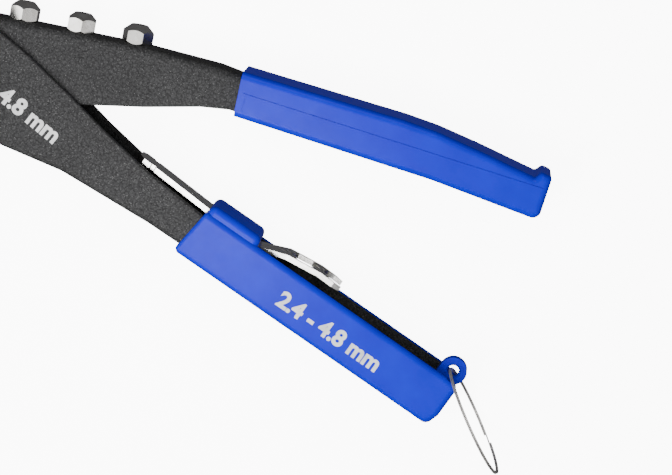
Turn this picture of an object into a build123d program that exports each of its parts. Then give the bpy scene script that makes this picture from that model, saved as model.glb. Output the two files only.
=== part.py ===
"""Hand riveter: a class-1 lever tool that sets blind rivets, with its spare
nosepieces, nosepiece wrench and bail ring.

Millimetres. The tool lies on its side: +Z is the side normal, +X runs along the
fixed handle from the head to the grip's end, and +Y points to the lever. The
origin is the centre of the fitted nosepiece's front face, and rivets enter
along +Y. The handles are open.
"""
from build123d import *
from math import cos, radians, sin, tan
import os

# Driving dimensions
BODY_HALF = 9.4            # half width of the body channel, outside
BODY_SHEET = 1.8
LEVER_HALF = 7.2           # half width of the lever channel, outside
LEVER_SHEET = 1.5
LEVER_BEND = 2.8
GRIP_HALF = 11.25          # half width of both grips
BEND = 2.2                 # outer bend radius of the pressed channels
EDGE_ROUND = 0.8           # tumbled outer edges of the body's flanges

PIVOT = (26.0, 42.0)       # lever pivot in X and Y
LEVER_ARM = 26.0           # pivot to finger centre
LEVER_ANGLE = 17.2         # open handle's axis above +X, degrees
CLOSING_ANGLE = 14.0       # travel of the lever, degrees
BOLT_R = 4.0
BUSH_R = 5.2
RUNNING = 0.05             # radial clearance of the running fits
FACE_HEIGHT = GRIP_HALF - BODY_HALF

HEX_ACROSS_FLATS = 9.5
HEX_HEIGHT = 6.5
NOSE_FACE_R = 2.9
NOSE_CONE = 2.4
SHANK_R = 4.6              # nosepiece thread
MANDREL_R = {"fitted": 1.05, "small": 0.85, "medium": 1.3, "large": 1.6}
STORE_X = (23.5, 43.5, 63.4)   # spare nosepieces along the lever
STORE_TURN = (30, 21, 4)   # how far each one was screwed round, degrees
WEB_FRONT = -13.0          # lever's web
WEB_SLOPE = 6.15           # its straight part, degrees to the lever's axis
WEB_HEIGHT = 14.2          # its height over the pivot

BARREL_R = 7.5
CASE_R = 6.15
BARREL_TOP = 32.5
CASE_FRONT = 14.2          # jaw case, front face at rest
CASE_TOP = 33.4
COLLAR_R = 7.1
NECK_R = 5.1
TAIL_R = 4.0
TAIL_TOP = 60.8
PASSAGE_R = 2.0            # way out for spent mandrels
CHAMBER_R = 5.0            # jaw case, inside
CONE_MOUTH_R = 3.0
CONE_SLOPE = 0.2
JAW_Y = (13.2, 22.4)
JAW_BORE_R = 1.75
JAW_GAP = 0.3
JAW_SPLIT = 0.5
PUSHER_TIP_R = 3.2
PUSHER_TOP = 24.6
FINGER_R = 3.2
BRIDGE_Y = 54.6            # underside of the rear bridge
BRIDGE_SHEET = 2.2
TAB_HALF = 3.0             # half width of its tabs
RIVET_R = 2.0
RIVET_Y = 22.0
HEAD_LEFT = -12.6
HEAD_BOTTOM = 14.5
HEAD_TOP = 59.6

GRIP_X = (131.6, 240.5)    # fixed handle's grip
GRIP_Y = (29.8, 47.9)
CHANNEL_Y = (32.4, 45.6)   # body channel at the grip's mouth
FLANGE_TOP = 47.3          # its flanges behind the loop, just under the grip's rim
FLANGE_RISE_X = (146.0, 153.0)
LOOP_X = (134.0, 154.8)
LOOP_TOP = 51.0
LOOP_HALF = 10.0
LOOP_ROUND = 2.2
EYE = (236.6, 49.4)
EYE_R = 4.9
EYE_HOLE_R = 2.05
EYE_RIM = 0.6              # chamfer around the eye on both sides
EYE_THICK = 3.6
END_WALL = 4.5
END_NOTCH_Y = 44.5         # the end wall is cut down here so that the ring can swing
SEAM = 0.35                # width and depth of the moulded lines in the grips

RING_R = 20.0              # bail ring, centre line
RING_WIRE_R = 0.55
RING_SWING = -30.7         # where the ring points, degrees from +X
RING_RISE = 30.0           # its tilt out of the tool's middle plane

WRENCH_SLOPE = -3.2        # the stored wrench leans down towards the grip's end
WRENCH_SHEET = 1.8
WRENCH_HALF = 5.3
WRENCH_HEAD_HALF = 6.4
WRENCH_START = (103.3, 49.95)   # upper corner of its plain end
WRENCH_CRANK_X = 155.2
WRENCH_HEAD_X = 165.5
WRENCH_END_X = 187.0

FINGER_SWEEP = CLOSING_ANGLE / 2
FINGER_Y = PIVOT[1] - LEVER_ARM * sin(radians(FINGER_SWEEP))
GROOVE_Y = (FINGER_Y - FINGER_R - 0.25, FINGER_Y + FINGER_R + 0.25)
UPPER_COLLAR = 1.6
STROKE = 2 * LEVER_ARM * sin(radians(FINGER_SWEEP))

LEVER_FRAME = Location((PIVOT[0], PIVOT[1], 0), (0, 0, LEVER_ANGLE))
BASE = (Align.CENTER, Align.CENTER, Align.MIN)

nodes = {}


def slab(points, low, high):
    """Closed outline in X and Y, as a plate between two Z heights."""
    face = make_face(Polyline(*points, close=True))
    return Pos(0, 0, low) * extrude(face, amount=high - low, dir=(0, 0, 1))


def channel_edges(solid, half, points):
    """Edges of a plate at z = +-half that run along the given outline points."""
    middles = [((a[0] + b[0]) / 2, (a[1] + b[1]) / 2) for a, b in zip(points, points[1:])]
    found = []
    for edge in solid.edges():
        c = edge.center()
        flat = abs(abs(c.Z) - half) < 0.01
        if flat and any(abs(c.X - x) + abs(c.Y - y) < 0.5 for x, y in middles):
            found.append(edge)
    return found


def is_along_z(edge):
    """True for a straight edge that runs across the tool."""
    return abs((edge % 0.5).Z) > 0.99


def box_between(low, high):
    """Box from its two corners."""
    size = [b - a for a, b in zip(low, high)]
    middle = [(a + b) / 2 for a, b in zip(low, high)]
    return Pos(*middle) * Box(*size)


def rod(radius, low, high, x=0.0, y=0.0):
    """Cylinder along Z."""
    return Pos(x, y, low) * Cylinder(radius, high - low, align=BASE)


def turned(points):
    """Solid of revolution about the rivet axis, from (radius, y) points."""
    return revolve(make_face(Polyline(*points, close=True)), axis=Axis.Y)


def along_y(solid, y):
    """Stand a Z-built solid on +Y at a given height."""
    return Pos(0, y, 0) * Rot(-90, 0, 0) * solid


def spring(radius, wire, turns, y0, y1):
    """Compression spring about the rivet axis, between two heights."""
    height = y1 - y0 - 2 * wire
    path = Helix(pitch=height / turns, height=height, radius=radius)
    section = Plane(origin=path @ 0, z_dir=path % 0) * Circle(wire)
    return along_y(Pos(0, 0, wire) * sweep(section, path=path), y0)


# Body: pressed channel with its web along the bottom and the front, open towards
# the lever. The flanges are deep at the head and run back into the grip.
BODY_BOTTOM = [(10.0, HEAD_BOTTOM), (84.0, 29.9), (119.0, 32.2), (GRIP_X[0] + 2.4, CHANNEL_Y[0])]
BODY_TOP = [(FLANGE_RISE_X[1], FLANGE_TOP), (FLANGE_RISE_X[0], CHANNEL_Y[1]), (134.0, CHANNEL_Y[1]),
            (109.4, 47.3), (88.0, 50.7), (75.4, 53.3), (52.6, 57.2), (26.0, HEAD_TOP)]


def make_body():
    rear = GRIP_X[1] - END_WALL
    bottom = [(HEAD_LEFT, HEAD_BOTTOM), *BODY_BOTTOM, (rear, CHANNEL_Y[0])]
    outline = [*bottom, (rear, FLANGE_TOP), *BODY_TOP, (HEAD_LEFT, HEAD_TOP)]
    face = make_face(Polyline(*outline, close=True))
    corners = face.vertices().filter_by(lambda v: v.X < HEAD_LEFT + 0.1)
    face = fillet(corners.filter_by(lambda v: v.Y < 20), 6.0)
    face = fillet(face.vertices().filter_by(lambda v: v.X < HEAD_LEFT + 0.1 and v.Y > 50), 9.0)
    plate = Pos(0, 0, -BODY_HALF) * extrude(face, amount=2 * BODY_HALF, dir=(0, 0, 1))
    bends = channel_edges(plate, BODY_HALF, bottom)
    plate = fillet(bends, BEND)
    plate = fillet(channel_edges(plate, BODY_HALF, BODY_TOP[2:]), EDGE_ROUND)
    inner = BODY_HALF - BODY_SHEET
    hollow = offset(face, -BODY_SHEET)
    core = Pos(0, 0, -inner) * extrude(hollow, amount=2 * inner, dir=(0, 0, 1))
    tail = box_between((rear - 10, CHANNEL_Y[0] + BODY_SHEET, -inner), (rear + 5, 60, inner))
    channel = plate - core - Pos(0, 3, 0) * core - tail
    channel -= rod(BOLT_R, -20, 20, *PIVOT)
    channel -= along_y(Cylinder(BARREL_R, 6, align=BASE), 11)
    channel -= rod(RIVET_R, -20, 20, 0, RIVET_Y)
    channel -= box_between((-TAB_HALF, BRIDGE_Y, -20), (TAB_HALF, BRIDGE_Y + BRIDGE_SHEET, 20))
    return channel


# Nose barrel: threaded at its mouth for the nosepiece, smooth inside for the jaw
# case, and held to both flanges by a rivet on each side.
def make_barrel():
    barrel = turned([(SHANK_R, HEX_HEIGHT), (BARREL_R - 1, HEX_HEIGHT), (BARREL_R, HEX_HEIGHT + 1),
                     (BARREL_R, BARREL_TOP - 0.5), (BARREL_R - 0.5, BARREL_TOP),
                     (CASE_R + RUNNING, BARREL_TOP), (CASE_R + RUNNING, 10.0), (SHANK_R, 10.0)])
    return barrel - make_rivets()


def make_rivets():
    seat = CASE_R + RUNNING + 0.4
    one = rod(RIVET_R, seat, BODY_HALF + 0.4, 0, RIVET_Y)
    one += rod(RIVET_R + 1.4, BODY_HALF, BODY_HALF + 1.0, 0, RIVET_Y)
    return one + Rot(0, 180, 0) * one


# Rear bridge: plate across the open top of the head, with a tab through each
# flange. It guides the tail tube and takes the return spring's thrust.
def make_bridge():
    inner = BODY_HALF - BODY_SHEET
    top = BRIDGE_Y + BRIDGE_SHEET
    plate = box_between((-8.0, BRIDGE_Y, -inner), (8.0, top, inner))
    plate += box_between((-TAB_HALF, BRIDGE_Y, -BODY_HALF), (TAB_HALF, top, BODY_HALF))
    return plate - along_y(Cylinder(TAIL_R + RUNNING, 10, align=BASE), BRIDGE_Y - 2)


# Nosepiece: hexagon with a coned front, threaded shank and a short boss that
# holds the jaws open. It is built standing on +Y with its front face at zero.
def make_nosepiece(bore):
    hexagon = RegularPolygon(radius=HEX_ACROSS_FLATS / 2, side_count=6, major_radius=False)
    head = extrude(hexagon, amount=HEX_HEIGHT)
    corner = HEX_ACROSS_FLATS / 2 + 0.8
    turned_down = Cone(NOSE_FACE_R, corner, NOSE_CONE, align=BASE)
    turned_down += Pos(0, 0, NOSE_CONE) * Cylinder(corner, HEX_HEIGHT - NOSE_CONE - 0.8, align=BASE)
    turned_down += Pos(0, 0, HEX_HEIGHT - 0.8) * Cone(corner, corner - 0.8, 0.8, align=BASE)
    head = head & turned_down
    head += Pos(0, 0, HEX_HEIGHT) * Cylinder(SHANK_R, 4.4, align=BASE)
    head += Pos(0, 0, HEX_HEIGHT + 4.4) * Cone(2.9, 2.5, 2.1, align=BASE)
    head -= Cylinder(bore, 40)
    return along_y(head, 0)


# Jaw case: cylinder with a coned mouth that closes the jaws as it is pulled back.
def make_jaw_case():
    cone_top = CASE_FRONT + (CHAMBER_R - CONE_MOUTH_R) / CONE_SLOPE
    return turned([(CONE_MOUTH_R, CASE_FRONT), (CASE_R - 1, CASE_FRONT), (CASE_R, CASE_FRONT + 1),
                   (CASE_R, CASE_TOP), (CHAMBER_R, CASE_TOP), (CHAMBER_R, cone_top)])


# Pull sleeve: screws into the jaw case, carries the groove for the lever's
# fingers, and runs back as the tail tube that lets spent mandrels out.
def make_pull_sleeve():
    collar_top = GROOVE_Y[1] + UPPER_COLLAR
    return turned([(PASSAGE_R, CASE_TOP - 2), (CHAMBER_R, CASE_TOP - 2), (CHAMBER_R, CASE_TOP),
                   (COLLAR_R, CASE_TOP), (COLLAR_R, GROOVE_Y[0]), (NECK_R, GROOVE_Y[0]),
                   (NECK_R, GROOVE_Y[1]), (COLLAR_R, GROOVE_Y[1]), (COLLAR_R, collar_top),
                   (TAIL_R, collar_top), (TAIL_R, TAIL_TOP - 0.6), (TAIL_R - 0.6, TAIL_TOP),
                   (PASSAGE_R, TAIL_TOP)])


# Jaws: a toothed cone cut into three, standing on the nosepiece's boss.
def make_jaws():
    def outer(y):
        return CONE_MOUTH_R + CONE_SLOPE * (y - CASE_FRONT) - JAW_GAP

    low, high = JAW_Y
    blank = turned([(JAW_BORE_R, low), (outer(low), low), (outer(high), high),
                    (PUSHER_TIP_R, high), (JAW_BORE_R, high - PUSHER_TIP_R + JAW_BORE_R)])
    for turn in range(3):
        cut = box_between((0, low - 1, -JAW_SPLIT / 2), (10, high + 1, JAW_SPLIT / 2))
        blank -= Rot(0, 120 * turn, 0) * cut
    return blank.solids()


# Jaw pusher: coned collar on a guide tube, pressed onto the jaws by its spring.
def make_pusher():
    tip = JAW_Y[1] - PUSHER_TIP_R + JAW_BORE_R
    return turned([(JAW_BORE_R - 0.1, tip), (JAW_BORE_R, tip), (PUSHER_TIP_R, JAW_Y[1]),
                   (4.5, JAW_Y[1]), (4.5, PUSHER_TOP), (2.8, PUSHER_TOP), (2.8, PUSHER_TOP + 4),
                   (JAW_BORE_R - 0.1, PUSHER_TOP + 4)])


# Lever: pressed channel with its web on top, narrower than the body so that it
# swings down between the flanges. Its two fingers reach into the pull sleeve's
# groove. Drawn in the lever's own frame, with the pivot at zero.
def web_height(x):
    """Height of the straight part of the web above the pivot."""
    return WEB_HEIGHT + tan(radians(WEB_SLOPE)) * x


LEVER_TOP = [(WEB_FRONT, web_height(WEB_FRONT)), (67.5, web_height(67.5)), (93.8, 22.9), (101.5, 22.4)]
LEVER_REAR = [(165.0, 22.8), (201.0, 18.2), (201.0, 9.8)]
LEVER_BOTTOM = [(101.5, 9.8), (91.4, 7.6), (72.6, 1.4), (57.7, -2.8), (30.0, -10.6), (10.0, -10.6),
                (-2.0, -9.6), (-9.0, -4.2)]
FINGER_ANGLE = 180 + FINGER_SWEEP - LEVER_ANGLE


def make_lever():
    reach = Rot(0, 0, FINGER_ANGLE)
    shoulder = [(-17.6, 0.84), (-16.8, 5.36)]
    outline = [*LEVER_TOP, *LEVER_REAR, *LEVER_BOTTOM, *shoulder]
    plate = slab(outline, -LEVER_HALF, LEVER_HALF)
    plate = fillet(channel_edges(plate, LEVER_HALF, [*LEVER_TOP, *LEVER_REAR[:2]]), LEVER_BEND)
    plate = fillet(channel_edges(plate, LEVER_HALF, LEVER_BOTTOM[:5]), 0.5)
    plate += reach * box_between((14, -2.3, -LEVER_HALF), (LEVER_ARM, 2.3, LEVER_HALF))
    plate += reach * rod(FINGER_R, -LEVER_HALF, LEVER_HALF, LEVER_ARM, 0)
    inner = LEVER_HALF - LEVER_SHEET
    under = [(x, y - LEVER_SHEET) for x, y in [*LEVER_TOP, *LEVER_REAR[:2]]]
    gap = [(-40, -40), (-40, 30), (WEB_FRONT, 30), *under, (210, under[-1][1]), (210, -40)]
    plate -= slab(gap, -inner, inner)
    plate -= rod(BUSH_R, -20, 20)
    for x, turn in zip(STORE_X, STORE_TURN):
        plate -= store_frame(x, turn) * along_y(Cylinder(SHANK_R, 12, align=BASE), 2)
    return LEVER_FRAME * plate


def store_frame(x, turn):
    """Place of a spare nosepiece: on the web, square to it, shank inward."""
    seat = Pos(x, web_height(x), 0) * Rot(0, 0, WEB_SLOPE) * Rot(180, 0, 0)
    return seat * Pos(0, -HEX_HEIGHT, 0) * Rot(0, turn, 0)


def make_bush():
    return LEVER_FRAME * (rod(BUSH_R, -7.5, 7.5) - rod(BOLT_R + RUNNING, -20, 20))


# Pivot bolt and its thin nut: both stand as proud of the flanges as the grips.
def make_pivot_bolt():
    bolt = rod(BOLT_R, -GRIP_HALF + 0.2, BODY_HALF, *PIVOT)
    head = chamfer(rod(6.6, BODY_HALF, GRIP_HALF, *PIVOT).edges().group_by(Axis.Z)[-1], 0.6)
    slot = box_between((PIVOT[0] - 8, PIVOT[1] - 0.6, GRIP_HALF - 0.8), (PIVOT[0] + 8, PIVOT[1] + 0.6, 20))
    return bolt + (head - slot)


def make_pivot_nut():
    hexagon = extrude(RegularPolygon(radius=6.0, side_count=6, major_radius=False), amount=FACE_HEIGHT)
    return Pos(*PIVOT, -GRIP_HALF) * hexagon - rod(BOLT_R, -20, 20, *PIVOT)


# Fixed grip: moulded sleeve on the body channel, open towards the lever. Its
# loop holds the wrench, and its end wall carries the eye for the bail ring.
def make_grip_lower():
    x0, x1 = GRIP_X
    y0, y1 = GRIP_Y
    face = make_face(Polyline((x0, y0 + 1.4), (x0 + 1.6, y0), (x1 - 1.6, y0), (x1, y0 + 5), (x1, y1),
                              (x0 + 2.0, y1), close=True))
    face = fillet(face.vertices().filter_by(lambda v: v.X > x1 - 3), 3.0)
    grip = Pos(0, 0, -GRIP_HALF) * extrude(face, amount=2 * GRIP_HALF, dir=(0, 0, 1))
    low_rim = [e for e in grip.edges() if abs(e.center().Y - y0) < 0.01 and e.length > 50]
    grip = fillet(low_rim, 2.2)
    high_rim = [e for e in grip.edges() if abs(e.center().Y - y1) < 0.01 and e.length > 50]
    front_rim = [e for e in grip.edges() if e.center().X < x0 + 1.8 and e.length > 10
                 and abs(abs(e.center().Z) - GRIP_HALF) < 0.01]
    grip = fillet([*high_rim, *front_rim], 1.2)
    inner = BODY_HALF - BODY_SHEET
    wall = x1 - END_WALL
    pocket = [(x0 - 5, CHANNEL_Y[0]), (wall, CHANNEL_Y[0]), (wall, FLANGE_TOP),
              (FLANGE_RISE_X[1], FLANGE_TOP), (FLANGE_RISE_X[0], CHANNEL_Y[1]), (x0 - 5, CHANNEL_Y[1])]
    grip -= slab(pocket, -BODY_HALF, BODY_HALF)
    grip -= make_body_mouth()
    grip -= box_between((x0 - 5, END_NOTCH_Y, -inner), (x1 + 5, y1 + 5, inner))
    grip -= box_between((LOOP_X[1], FLANGE_TOP - 0.5, -BODY_HALF), (wall, y1 + 5, BODY_HALF))
    loop = box_between((LOOP_X[0], CHANNEL_Y[1] - 1.2, -inner), (LOOP_X[1], LOOP_TOP, inner))
    loop += box_between((LOOP_X[0], y1 - 0.5, -LOOP_HALF), (LOOP_X[1], LOOP_TOP, LOOP_HALF))
    loop = fillet([e for e in loop.edges() if is_along_z(e) and e.center().Y > y1], LOOP_ROUND + 0.2)
    grip += fillet([e for e in loop.edges() if abs(abs(e.center().Z) - LOOP_HALF) < 0.01
                    and e.center().Y > y1 + 0.2], LOOP_ROUND)
    grip -= wrench_slot()
    eye = rod(EYE_R, -EYE_THICK / 2, EYE_THICK / 2, *EYE)
    eye += box_between((EYE[0] - EYE_R, END_NOTCH_Y - 1, -EYE_THICK / 2), (x1 - 0.6, EYE[1], EYE_THICK / 2))
    grip += eye
    flare = Cone(EYE_HOLE_R, EYE_HOLE_R + 2, 2, align=BASE)
    for side in (0, 180):
        grip -= Pos(*EYE, 0) * Rot(side, 0, 0) * Pos(0, 0, EYE_THICK / 2 - EYE_RIM) * flare
    return grip - rod(EYE_HOLE_R, -20, 20, *EYE)


def make_body_mouth():
    """Room in the grip's mouth for the body channel where it is still deeper."""
    return slab([(GRIP_X[0] - 1, CHANNEL_Y[0] - 0.3), (GRIP_X[0] + 2.4, CHANNEL_Y[0]),
                 (GRIP_X[0] + 2.4, CHANNEL_Y[1]), (GRIP_X[0] - 1, CHANNEL_Y[1] + 0.6)], -BODY_HALF, BODY_HALF)


# Wrench: flat strip of sheet steel, cranked behind the loop, with a hexagon
# opening and an open jaw that fit the nosepieces.
def wrench_top(x):
    """Height of the straight strip's upper face."""
    return WRENCH_START[1] + sin(radians(WRENCH_SLOPE)) * (x - WRENCH_START[0])


def make_wrench():
    x0 = WRENCH_START[0]
    top = [(x0, wrench_top(x0)), (WRENCH_CRANK_X, wrench_top(WRENCH_CRANK_X)), (WRENCH_HEAD_X, 50.9),
           (178.0, 52.3), (WRENCH_END_X, 52.0)]
    under = [(x, y - WRENCH_SHEET) for x, y in reversed(top)]
    strip = slab([*top, *under], -WRENCH_HEAD_HALF, WRENCH_HEAD_HALF)
    half = WRENCH_HALF
    wide = WRENCH_HEAD_HALF
    side = [(x0, half - 2), (x0 + 2, half), (x0 + 5, half), (x0 + 5.4, half - 0.9), (x0 + 6.8, half - 0.9),
            (x0 + 7.2, half), (WRENCH_HEAD_X - 6, half), (WRENCH_HEAD_X, wide), (WRENCH_END_X - 3, wide),
            (WRENCH_END_X, wide - 1.6)]
    plan = [*side, *[(x, -z) for x, z in reversed(side)]]
    cutter = make_face(Polyline(*[(x, -z) for x, z in plan], close=True))
    cutter -= Pos(WRENCH_HEAD_X + 6.4, 0) * RegularPolygon(radius=4.85, side_count=6, major_radius=False)
    mouth = Pos(WRENCH_END_X - 3.4, 0) * Rectangle(14, 9.6, align=(Align.MIN, Align.CENTER))
    mouth += Pos(WRENCH_END_X - 3.4, 0) * Circle(4.8)
    cutter -= mouth
    prism = Rot(-90, 0, 0) * extrude(cutter, amount=90)
    return strip & prism


def wrench_slot():
    """Passage through the loop, along the stored wrench."""
    room = 0.2
    depth = WRENCH_SHEET + 2 * room
    block = box_between((-40, -depth + room, -WRENCH_HALF - 0.3), (60, room, WRENCH_HALF + 0.3))
    return Pos(LOOP_X[0], wrench_top(LOOP_X[0]), 0) * Rot(0, 0, WRENCH_SLOPE) * block


# Lever grip: moulded sleeve on the lever channel, open downward, with a rounded
# back and a raised lip that keeps the hand on.
def make_grip_upper():
    front, rear = 102.2, 214.2
    hump = [(208.6, 20.3), (187.6, 23.2), (172.0, 24.9), (160.0, 25.3), (135.0, 24.8), (front, 24.2)]
    outline = [(front + 1.4, 8.5), (175.0, 8.4), (rear, 6.4), (rear, 22.2), (210.4, 22.7), *hump]
    face = make_face(Polyline(*outline, close=True))
    face = fillet(face.vertices().filter_by(lambda v: v.X > rear - 1 and v.Y < 8), 3.0)
    face = fillet(face.vertices().filter_by(lambda v: v.X > 210 and v.Y > 20), 1.5)
    face = fillet(face.vertices().filter_by(lambda v: 208 < v.X < 209), 1.2)
    face = fillet(face.vertices().filter_by(lambda v: 130 < v.X < 190 and v.Y > 20), 12.0)
    grip = Pos(0, 0, -GRIP_HALF) * extrude(face, amount=2 * GRIP_HALF, dir=(0, 0, 1))
    back = [e for e in grip.edges() if abs(abs(e.center().Z) - GRIP_HALF) < 0.01 and e.center().Y > 20]
    grip = fillet(back, 2.4)
    seam = [(front + 2.4, 17.3), (rear, 17.8), (rear, 17.8 + SEAM), (front + 2.4, 17.3 + SEAM)]
    panel = [(front + 3.4, 11.6), (front + 3.4 + SEAM, 11.6), (front + 3.4 + SEAM, 16.6), (front + 3.4, 16.6)]
    for side in (-1, 1):
        for line in (seam, panel):
            low, high = sorted((side * (GRIP_HALF - SEAM), side * (GRIP_HALF + 1)))
            grip -= slab(line, low, high)
    top = LEVER_TOP[-1]
    rear_end, floor = LEVER_REAR[-1]
    pocket = [(front - 5, floor), LEVER_REAR[2], LEVER_REAR[1], LEVER_REAR[0], top, (front - 5, top[1])]
    grip -= slab(pocket, -LEVER_HALF, LEVER_HALF)
    inner = LEVER_HALF - LEVER_SHEET
    grip -= box_between((front - 5, 0, -inner), (rear_end, floor + 1, inner))
    return LEVER_FRAME * grip


# Bail ring: round wire ring through the grip's eye.
def make_ring():
    swing = radians(RING_SWING)
    rise = radians(RING_RISE)
    centre = (EYE[0] + RING_R * cos(rise) * cos(swing), EYE[1] + RING_R * cos(rise) * sin(swing),
              RING_R * sin(rise))
    normal = (-sin(swing), cos(swing), 0)
    return Plane(origin=centre, x_dir=(0, 0, 1), z_dir=normal) * Torus(RING_R, RING_WIRE_R)


nodes["body_frame"] = make_body()
nodes["nose_barrel"] = make_barrel()
nodes["barrel_rivets"] = make_rivets()
nodes["rear_bridge"] = make_bridge()
nodes["pivot_bolt"] = make_pivot_bolt()
nodes["pivot_nut"] = make_pivot_nut()
nodes["grip_lower"] = make_grip_lower()
nodes["return_spring"] = spring(5.6, 0.5, 3.5, GROOVE_Y[1] + UPPER_COLLAR, BRIDGE_Y)
nodes["nosepiece_fitted"] = make_nosepiece(MANDREL_R["fitted"])
nodes["lever_frame"] = make_lever()
nodes["lever_bush"] = make_bush()
nodes["grip_upper"] = make_grip_upper()
for name, x, turn in zip(("small", "medium", "large"), STORE_X, STORE_TURN):
    nodes["nosepiece_" + name] = LEVER_FRAME * store_frame(x, turn) * make_nosepiece(MANDREL_R[name])
nodes["jaw_case"] = make_jaw_case()
nodes["pull_sleeve"] = make_pull_sleeve()
nodes["jaw_spring"] = spring(3.7, 0.35, 4.0, PUSHER_TOP, CASE_TOP - 2)
for number, jaw in enumerate(make_jaws(), start=1):
    nodes["jaw_" + str(number)] = jaw
nodes["jaw_pusher"] = make_pusher()
nodes["bail_ring"] = make_ring()
nodes["nosepiece_wrench"] = make_wrench()

os.makedirs("parts", exist_ok=True)
for name, solid in nodes.items():
    solid.label = name
    export_step(solid, "parts/" + name + ".step")
print(len(nodes), "nodes, jaw stroke", round(STROKE, 3))
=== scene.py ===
import math

import bpy
from mathutils import Matrix, Vector


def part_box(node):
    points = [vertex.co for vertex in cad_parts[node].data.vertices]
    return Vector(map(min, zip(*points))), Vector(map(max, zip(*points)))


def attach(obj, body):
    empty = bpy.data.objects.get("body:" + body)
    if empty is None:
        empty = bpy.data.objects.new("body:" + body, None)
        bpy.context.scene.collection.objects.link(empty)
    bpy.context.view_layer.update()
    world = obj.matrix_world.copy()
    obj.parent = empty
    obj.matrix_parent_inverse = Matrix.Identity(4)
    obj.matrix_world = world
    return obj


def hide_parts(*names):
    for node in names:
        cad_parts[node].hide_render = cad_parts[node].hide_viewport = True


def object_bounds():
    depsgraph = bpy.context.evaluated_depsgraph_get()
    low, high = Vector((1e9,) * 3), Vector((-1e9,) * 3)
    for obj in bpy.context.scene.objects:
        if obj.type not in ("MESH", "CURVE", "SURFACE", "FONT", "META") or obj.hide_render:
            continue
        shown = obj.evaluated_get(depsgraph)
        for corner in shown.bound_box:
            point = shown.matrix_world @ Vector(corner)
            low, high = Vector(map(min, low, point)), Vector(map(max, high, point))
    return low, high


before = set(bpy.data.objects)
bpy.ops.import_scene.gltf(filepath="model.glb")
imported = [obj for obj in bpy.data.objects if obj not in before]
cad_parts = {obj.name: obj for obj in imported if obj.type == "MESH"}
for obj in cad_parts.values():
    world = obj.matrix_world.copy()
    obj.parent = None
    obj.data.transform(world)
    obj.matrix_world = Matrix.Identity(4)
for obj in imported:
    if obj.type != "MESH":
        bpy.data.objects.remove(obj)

cad_low, cad_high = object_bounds()


# ---------------------------------------------------------------- body channel
# The body is a deep channel pressed from 1.8 mm steel sheet, its web along the
# bottom and round the head. It is blasted and dipped in a coarse black powder
# coat, which leaves a pebbled skin; the paler crests on it are painted highlight.

def link(material, start, end):
    """Join one node's output socket to another node's input socket."""
    material.node_tree.links.new(start, end)


def add_node(material, kind, **values):
    """Add a shader node and set the named properties and input sockets on it."""
    made = material.node_tree.nodes.new(kind)
    for name, value in values.items():
        if hasattr(made, name):
            setattr(made, name, value)
        else:
            made.inputs[name.replace("_", " ")].default_value = value
    return made


def new_finish(name, roughness=0.5, metallic=0.0):
    """A material with one Principled shader; gives the material and its shader."""
    material = bpy.data.materials.new(name)
    material.use_nodes = True
    shader = material.node_tree.nodes["Principled BSDF"]
    shader.inputs["Roughness"].default_value = roughness
    shader.inputs["Metallic"].default_value = metallic
    return material, shader


def grain(material, scale, detail=2.0, stretch=(1.0, 1.0, 1.0)):
    """Noise on object coordinates; gives its factor socket."""
    place = add_node(material, "ShaderNodeTexCoord")
    mapping = add_node(material, "ShaderNodeMapping")
    mapping.inputs["Scale"].default_value = stretch
    noise = add_node(material, "ShaderNodeTexNoise", Scale=scale, Detail=detail)
    link(material, place.outputs["Object"], mapping.inputs["Vector"])
    link(material, mapping.outputs["Vector"], noise.inputs["Vector"])
    return noise.outputs["Fac"]


def blend_colours(material, factor, low, high, first, second):
    """Ramp from the first colour to the second between two factor values."""
    ramp = add_node(material, "ShaderNodeValToRGB")
    ramp.color_ramp.elements[0].position = low
    ramp.color_ramp.elements[1].position = high
    ramp.color_ramp.elements[0].color = (*first, 1.0)
    ramp.color_ramp.elements[1].color = (*second, 1.0)
    link(material, factor, ramp.inputs["Fac"])
    return ramp.outputs["Color"]


def relief(material, shader, factor, depth, strength):
    """Bump the shader's normal by a factor; depth is in metres."""
    bump = add_node(material, "ShaderNodeBump", Strength=strength, Distance=depth)
    link(material, factor, bump.inputs["Height"])
    link(material, bump.outputs["Normal"], shader.inputs["Normal"])


def roughness_range(material, shader, factor, low, high):
    """Let the roughness wander between two values."""
    spread = add_node(material, "ShaderNodeMapRange")
    spread.inputs["To Min"].default_value = low
    spread.inputs["To Max"].default_value = high
    link(material, factor, spread.inputs["Value"])
    link(material, spread.outputs["Result"], shader.inputs["Roughness"])


def dress(material, *names):
    """Put a finish on CAD nodes, in every slot of their objects."""
    for name in names:
        node = bpy.data.objects[name]
        for number in range(len(node.material_slots)):
            node.material_slots[number].material = material


def cells(material, scale):
    """Voronoi cells on object coordinates; gives the distance to their edges."""
    place = add_node(material, "ShaderNodeTexCoord")
    pattern = add_node(material, "ShaderNodeTexVoronoi", feature="DISTANCE_TO_EDGE", Scale=scale)
    link(material, place.outputs["Object"], pattern.inputs["Vector"])
    return pattern.outputs["Distance"]


def mix_colours(material, factor, first, second, blend_type="MIX"):
    """Mix two colours, each a socket or a plain colour, by a factor socket or number."""
    mixer = add_node(material, "ShaderNodeMix", data_type="RGBA", blend_type=blend_type)
    colour_a, colour_b = mixer.inputs[6], mixer.inputs[7]
    for socket, value in ((mixer.inputs["Factor"], factor), (colour_a, first), (colour_b, second)):
        if isinstance(value, bpy.types.NodeSocket):
            link(material, value, socket)
        elif isinstance(value, tuple):
            socket.default_value = (*value, 1.0)
        else:
            socket.default_value = value
    return mixer.outputs[2]


BLACK = (0.0, 0.0, 0.0)
WHITE = (1.0, 1.0, 1.0)


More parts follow.
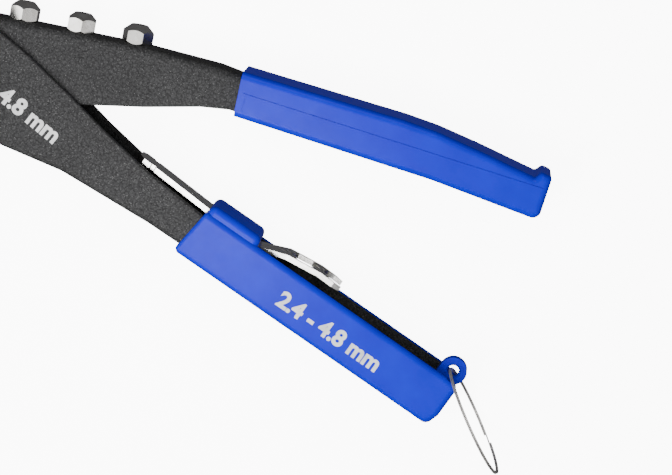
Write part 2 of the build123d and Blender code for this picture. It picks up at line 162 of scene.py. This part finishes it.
def textured_coat(name, valley, crest_highlight, speck_glint_colour):
    """Crazed powder coat: pebbles under a millimetre across with fine dark cracks
    between them; the paler crests and the pale specks are painted highlight, where the crests catch the
    light."""
    material, shader = new_finish(name)
    shader.inputs["Specular IOR Level"].default_value = 0.15
    pebbles = grain(material, 1500, 4.0)
    # Pebble tops take the crest colour: a painted highlight on the crests.
    colour = blend_colours(material, pebbles, 0.35, 0.65, valley, crest_highlight)
    cracks = blend_colours(material, cells(material, 620), 0.01, 0.12, (0.45, 0.45, 0.45), WHITE)
    colour = mix_colours(material, 0.8, colour, cracks, "MULTIPLY")
    # Pale specks: painted glints, a painted highlight on the coat.
    glint_specks = blend_colours(material, grain(material, 2600, 2.0), 0.62, 0.74, BLACK, WHITE)
    colour = mix_colours(material, glint_specks, colour, speck_glint_colour)
    clouds = blend_colours(material, grain(material, 60, 3.0), 0.3, 0.7, (0.82, 0.82, 0.82), WHITE)
    colour = mix_colours(material, 1.0, colour, clouds, "MULTIPLY")
    link(material, colour, shader.inputs["Base Color"])
    height = mix_colours(material, 0.5, cracks, blend_colours(material, pebbles, 0.3, 0.7, BLACK, WHITE))
    relief(material, shader, height, 0.00025, 0.6)
    roughness_range(material, shader, grain(material, 900, 2.0), 0.4, 0.7)
    return material


# Grey of the painted glint specks; the second colour passed to each coat is the painted crest highlight.
GLINT_SPECK_GREY = (0.16, 0.16, 0.16)
body_coat = textured_coat("body_powder_coat", (0.021, 0.021, 0.022), (0.050, 0.050, 0.051), GLINT_SPECK_GREY)
dress(body_coat, "body_frame")


# --------------------------------------------------------------------- lever
# The lever is a narrower channel of 1.5 mm sheet with the same coat, its valley
# colour a shade darker. It turns on a bush between the body's flanges.

# Same painted crest highlight and painted glint specks as the body coat.
lever_coat = textured_coat("lever_powder_coat", (0.020, 0.020, 0.021), (0.050, 0.050, 0.051), GLINT_SPECK_GREY)
dress(lever_coat, "lever_frame")


# --------------------------------------------------------------------- grips
# Both grips are blue vinyl sleeves moulded to shape and pushed on warm. The
# mould leaves a fine spark-eroded grain and a satin sheen.

grip_blue, grip_shader = new_finish("grip_blue_vinyl", 0.32)
grip_shader.inputs["Specular IOR Level"].default_value = 0.12
grip_mottle = grain(grip_blue, 90, 3.0)
link(grip_blue, blend_colours(grip_blue, grip_mottle, 0.3, 0.75, (0.0, 0.002, 0.52), (0.0, 0.006, 0.62)),
     grip_shader.inputs["Base Color"])
relief(grip_blue, grip_shader, grain(grip_blue, 2400, 2.0), 0.0001, 0.18)
roughness_range(grip_blue, grip_shader, grain(grip_blue, 300, 2.0), 0.27, 0.38)
dress(grip_blue, "grip_lower", "grip_upper")


# -------------------------------------------------- nosepieces and nose barrel
# Nosepieces and barrel are turned from free-cutting steel and bright nickel
# plated; fine turning marks run round them.

nickel, nickel_shader = new_finish("bright_nickel", 0.16, 1.0)
link(nickel, blend_colours(nickel, grain(nickel, 350, 3.0), 0.3, 0.8, (0.66, 0.64, 0.60),
                           (0.86, 0.85, 0.83)), nickel_shader.inputs["Base Color"])
relief(nickel, nickel_shader, grain(nickel, 1500, 2.0), 0.00003, 0.25)
roughness_range(nickel, nickel_shader, grain(nickel, 500, 2.0), 0.1, 0.24)
dress(nickel, "nose_barrel", "nosepiece_fitted", "nosepiece_small", "nosepiece_medium", "nosepiece_large")


# ------------------------------------------- pivot bolt, nut, rivets and bridge
# Fasteners and the rear bridge are zinc plated, with the cloudy grey bloom that
# zinc takes.

zinc, zinc_shader = new_finish("zinc_plate", 0.35, 1.0)
link(zinc, blend_colours(zinc, grain(zinc, 400, 4.0), 0.3, 0.75, (0.42, 0.42, 0.42), (0.66, 0.66, 0.64)),
     zinc_shader.inputs["Base Color"])
relief(zinc, zinc_shader, grain(zinc, 1800, 2.0), 0.00004, 0.3)
roughness_range(zinc, zinc_shader, grain(zinc, 600, 2.0), 0.26, 0.46)
dress(zinc, "barrel_rivets", "rear_bridge", "pivot_bolt", "pivot_nut")


# -------------------------------------------- jaws, pulling parts and springs
# Jaw case, pull sleeve, jaws, pusher, bush and both springs are hardened steel,
# oiled, with a dark heat-treated skin.

tool_steel, tool_shader = new_finish("hardened_steel", 0.35, 1.0)
link(tool_steel, blend_colours(tool_steel, grain(tool_steel, 500, 3.0), 0.3, 0.75, (0.16, 0.16, 0.17),
                               (0.34, 0.34, 0.35)), tool_shader.inputs["Base Color"])
relief(tool_steel, tool_shader, grain(tool_steel, 1500, 2.0, (1.0, 8.0, 1.0)), 0.00003, 0.3)
roughness_range(tool_steel, tool_shader, grain(tool_steel, 700, 2.0), 0.25, 0.45)
dress(tool_steel, "jaw_case", "pull_sleeve", "jaw_1", "jaw_2", "jaw_3", "jaw_pusher", "lever_bush")
dress(tool_steel, "return_spring", "jaw_spring")


# -------------------------------------------------------------------- wrench
# The nosepiece wrench is blanked from 1.8 mm sheet steel and bright zinc
# plated; its rolled face has faint lengthwise marks.

wrench_steel, wrench_shader = new_finish("wrench_sheet_steel", 0.25, 1.0)
link(wrench_steel, blend_colours(wrench_steel, grain(wrench_steel, 400, 3.0), 0.3, 0.75, (0.62, 0.61, 0.58),
                                 (0.84, 0.83, 0.80)), wrench_shader.inputs["Base Color"])
relief(wrench_steel, wrench_shader, grain(wrench_steel, 900, 2.0, (0.1, 1.0, 3.0)), 0.00004, 0.3)
roughness_range(wrench_steel, wrench_shader, grain(wrench_steel, 500, 2.0), 0.18, 0.34)
dress(wrench_steel, "nosepiece_wrench")


# ----------------------------------------------------------------- bail ring
# The bail ring is a split ring: two turns of flattened spring wire, bright
# nickel plated, wound against each other and threaded through the grip's eye.

MM = 0.001
RING_RADIUS = 19.65 * MM
RING_LAY = 0.55 * MM       # thickness of one turn of the wire, along the ring's axis
RING_FLATTENING = 1.9      # the wire's radial width over that thickness
RING_TURNS = 1.97
RING_RISE = RING_LAY * 1.95        # along the axis, from the wire's start to its end
RING_STEPS = 190           # round the whole winding
RING_START_ANGLE = math.radians(148)       # where on the ring the wire starts
ring_low, ring_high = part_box("bail_ring")
ring_eye = Vector((0.2366, 0.0494, 0.0))
ring_middle = (ring_low + ring_high) / 2
ring_outward = (ring_middle - ring_eye).normalized()
ring_normal = Vector((-ring_outward.y, ring_outward.x, 0)).normalized()
bpy.ops.object.select_all(action="DESELECT")
bpy.ops.mesh.primitive_circle_add(vertices=16, radius=RING_LAY / 2, rotation=(math.pi / 2, 0, 0),
                                  location=(RING_RADIUS, 0, -RING_LAY / 2))
split_ring = bpy.context.object
split_ring.name = "bail_ring_wire"
bpy.ops.object.transform_apply(location=True, rotation=True, scale=True)
bpy.ops.object.mode_set(mode="EDIT")
bpy.ops.mesh.select_all(action="SELECT")
bpy.ops.transform.resize(value=(RING_FLATTENING, 1, 1), center_override=(RING_RADIUS, 0, 0))
bpy.ops.object.mode_set(mode="OBJECT")
winding = split_ring.modifiers.new("winding", "SCREW")
winding.axis = "Z"
winding.angle = math.radians(360 * RING_TURNS)
winding.screw_offset = RING_RISE
winding.steps = winding.render_steps = RING_STEPS
bpy.ops.object.modifier_apply(modifier="winding")
bpy.ops.object.mode_set(mode="EDIT")
bpy.ops.mesh.select_mode(type="EDGE")
bpy.ops.mesh.select_all(action="DESELECT")
bpy.ops.mesh.select_non_manifold()
bpy.ops.mesh.fill()
bpy.ops.mesh.select_all(action="SELECT")
bpy.ops.mesh.normals_make_consistent(inside=False)
bpy.ops.object.mode_set(mode="OBJECT")
bpy.ops.object.shade_smooth_by_angle(angle=math.radians(50))
ring_upward = Vector((0, 0, 1))
ring_turn = Matrix((ring_upward, ring_normal.cross(ring_upward), ring_normal)).transposed().to_4x4()
ring_start = Matrix.Rotation(RING_START_ANGLE, 4, "Z")
split_ring.matrix_world = Matrix.Translation(ring_middle) @ ring_turn @ ring_start
bpy.ops.object.transform_apply(location=True, rotation=True, scale=True)
drawn_wire, wire_shader = new_finish("plated_spring_wire", 0.35, 0.75)
link(drawn_wire, blend_colours(drawn_wire, grain(drawn_wire, 600, 3.0), 0.3, 0.75, (0.42, 0.41, 0.40),
                               (0.66, 0.65, 0.62)), wire_shader.inputs["Base Color"])
relief(drawn_wire, wire_shader, grain(drawn_wire, 2500, 2.0), 0.00003, 0.3)
roughness_range(drawn_wire, wire_shader, grain(drawn_wire, 900, 2.0), 0.3, 0.46)
split_ring.data.materials.append(drawn_wire)
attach(split_ring, "ring")
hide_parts("bail_ring")


# -------------------------------------------------------------- printed sizes
# The rivet sizes that the tool takes are pad-printed in white ink on the body's
# flange and on the lower grip, a thin film with worn, pinholed edges.

white_ink, ink_shader = new_finish("white_pad_print", 0.5)
ink_colour = blend_colours(white_ink, grain(white_ink, 300, 3.0), 0.3, 0.6, (0.62, 0.62, 0.63),
                           (0.80, 0.80, 0.80))
ink_pinholes = blend_colours(white_ink, grain(white_ink, 1900, 3.0), 0.66, 0.75, BLACK, WHITE)
worn_ink = mix_colours(white_ink, ink_pinholes, ink_colour, (0.25, 0.25, 0.26))
link(white_ink, worn_ink, ink_shader.inputs["Base Color"])
relief(white_ink, ink_shader, grain(white_ink, 1500, 3.0), 0.00006, 0.4)
roughness_range(white_ink, ink_shader, grain(white_ink, 700, 2.0), 0.4, 0.6)


INK_HALF = 0.03 * MM       # half of the ink film's thickness
FIGURE_HEIGHT = 6.0 * MM
FONT_RATIO = 0.73          # a figure's height over the font size


def printed_sizes(name, x, y, face, lean):
    """The size range as a film of ink on a side face, lower left corner at x, y."""
    bpy.ops.object.select_all(action="DESELECT")
    bpy.ops.object.text_add()
    made = bpy.context.object
    made.name = name
    made.data.body = "2.4 - 4.8 mm"
    made.data.size = FIGURE_HEIGHT / FONT_RATIO
    made.data.offset = 0.05 * FIGURE_HEIGHT
    made.data.extrude = INK_HALF
    made.data.resolution_u = 6
    bpy.ops.object.convert(target="MESH")
    made.rotation_euler = (0, 0, math.radians(lean))
    made.location = (x, y, face + INK_HALF)
    bpy.ops.object.transform_apply(location=True, rotation=True, scale=True)
    made.data.materials.append(white_ink)
    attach(made, "body")


printed_sizes("body_size_print", 0.0345, 0.0399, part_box("body_frame")[1].z, -4.6)
printed_sizes("grip_size_print", 0.1712, 0.0352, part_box("grip_lower")[1].z, 0)


# ------------------------------------------------------ floor, light and camera
# The tool lies on its side on a plain white sheet, under soft boxes.

centre = (cad_low + cad_high) / 2
bpy.ops.object.select_all(action="DESELECT")
bpy.ops.mesh.primitive_plane_add(size=6.0, location=(centre.x, centre.y, cad_low.z - 0.0002))
floor = bpy.context.object
floor.name = "studio_floor"
bpy.ops.object.transform_apply(location=True, rotation=True, scale=True)
floor_paper, floor_shader = new_finish("white_paper", 0.9)
paper_white = blend_colours(floor_paper, grain(floor_paper, 40, 2.0), 0.3, 0.7, (0.86, 0.86, 0.86),
                            (0.9, 0.9, 0.9))
link(floor_paper, paper_white, floor_shader.inputs["Base Color"])
floor_shader.inputs["Emission Color"].default_value = (1, 1, 1, 1)
floor_shader.inputs["Emission Strength"].default_value = 9.0
floor.data.materials.append(floor_paper)
floor.visible_diffuse = False
floor.visible_glossy = False

# Camera: the tool's long axis falls 35.4 degrees to the right across the frame.
ROLL = math.radians(35.4)
LEAN_RIGHT = 0.0675        # how far the view leans from the tool's side normal
LEAN_UP = 0.184
VIEW_WIDTH = 0.2352        # what the frame spans at the tool's middle plane
CAMERA_DISTANCE = 0.85
aim = Vector((0.1758, 0.0645, 0.0))
flat_right = Vector((math.cos(ROLL), math.sin(ROLL), 0))
flat_up = Vector((-math.sin(ROLL), math.cos(ROLL), 0))
toward = (flat_right * LEAN_RIGHT + flat_up * LEAN_UP + Vector((0, 0, 0.98))).normalized()
right = (flat_right - toward * flat_right.dot(toward)).normalized()
up = toward.cross(right)
SENSOR_WIDTH = 36.0
camera_data = bpy.data.cameras.new("camera")
camera_data.sensor_width = SENSOR_WIDTH
camera_data.lens = SENSOR_WIDTH * CAMERA_DISTANCE / VIEW_WIDTH
camera = bpy.data.objects.new("camera", camera_data)
bpy.context.collection.objects.link(camera)
camera.matrix_world = Matrix.Translation(aim + toward * CAMERA_DISTANCE) @ Matrix(
    (right, up, toward)).transposed().to_4x4()
bpy.context.scene.camera = camera


def soft_box(name, place, size, power):
    """Square area light aimed at the tool's middle."""
    data = bpy.data.lights.new(name, "AREA")
    data.size = size
    data.energy = power
    lamp = bpy.data.objects.new(name, data)
    bpy.context.collection.objects.link(lamp)
    lamp.location = place
    lamp.rotation_euler = (centre - Vector(place)).to_track_quat("-Z", "Y").to_euler()


soft_box("key_box", tuple(aim - flat_up * 0.30 - flat_right * 0.42 + Vector((0, 0, 0.72))), 0.22, 4.2)
soft_box("fill_box", tuple(aim + flat_up * 0.6 + flat_right * 0.1 + Vector((0, 0, 0.42))), 0.35, 1.3)
soft_box("head_side_box", (-0.35, -0.16, 0.27), 0.3, 1.0)
soft_box("ring_side_box", (0.62, 0.10, 0.3), 0.3, 0.35)
soft_box("sheen_box", tuple(aim - flat_up * 0.016 - flat_right * 0.065 + Vector((0, 0, 0.25))), 0.09, 0.42)

# The room is a pale dome that darkens towards its walls, so bright metal has
# something dark to reflect.
world = bpy.data.worlds.new("studio")
bpy.context.scene.world = world
world.use_nodes = True
room = world.node_tree
room_place = room.nodes.new("ShaderNodeTexCoord")
room_axes = room.nodes.new("ShaderNodeSeparateXYZ")
room_ramp = room.nodes.new("ShaderNodeValToRGB")
room_ramp.color_ramp.elements[0].position = 0.08
room_ramp.color_ramp.elements[0].color = (0.10, 0.10, 0.105, 1)
room_ramp.color_ramp.elements[1].position = 0.82
room_ramp.color_ramp.elements[1].color = (0.30, 0.30, 0.30, 1)
for height, level in ((0.9, 1.3), (1.0, 1.7)):
    room_ramp.color_ramp.elements.new(height).color = (level, level, level, 1)
room.links.new(room_place.outputs["Generated"], room_axes.inputs["Vector"])
room.links.new(room_axes.outputs["Z"], room_ramp.inputs["Fac"])
room.links.new(room_ramp.outputs["Color"], room.nodes["Background"].inputs["Color"])
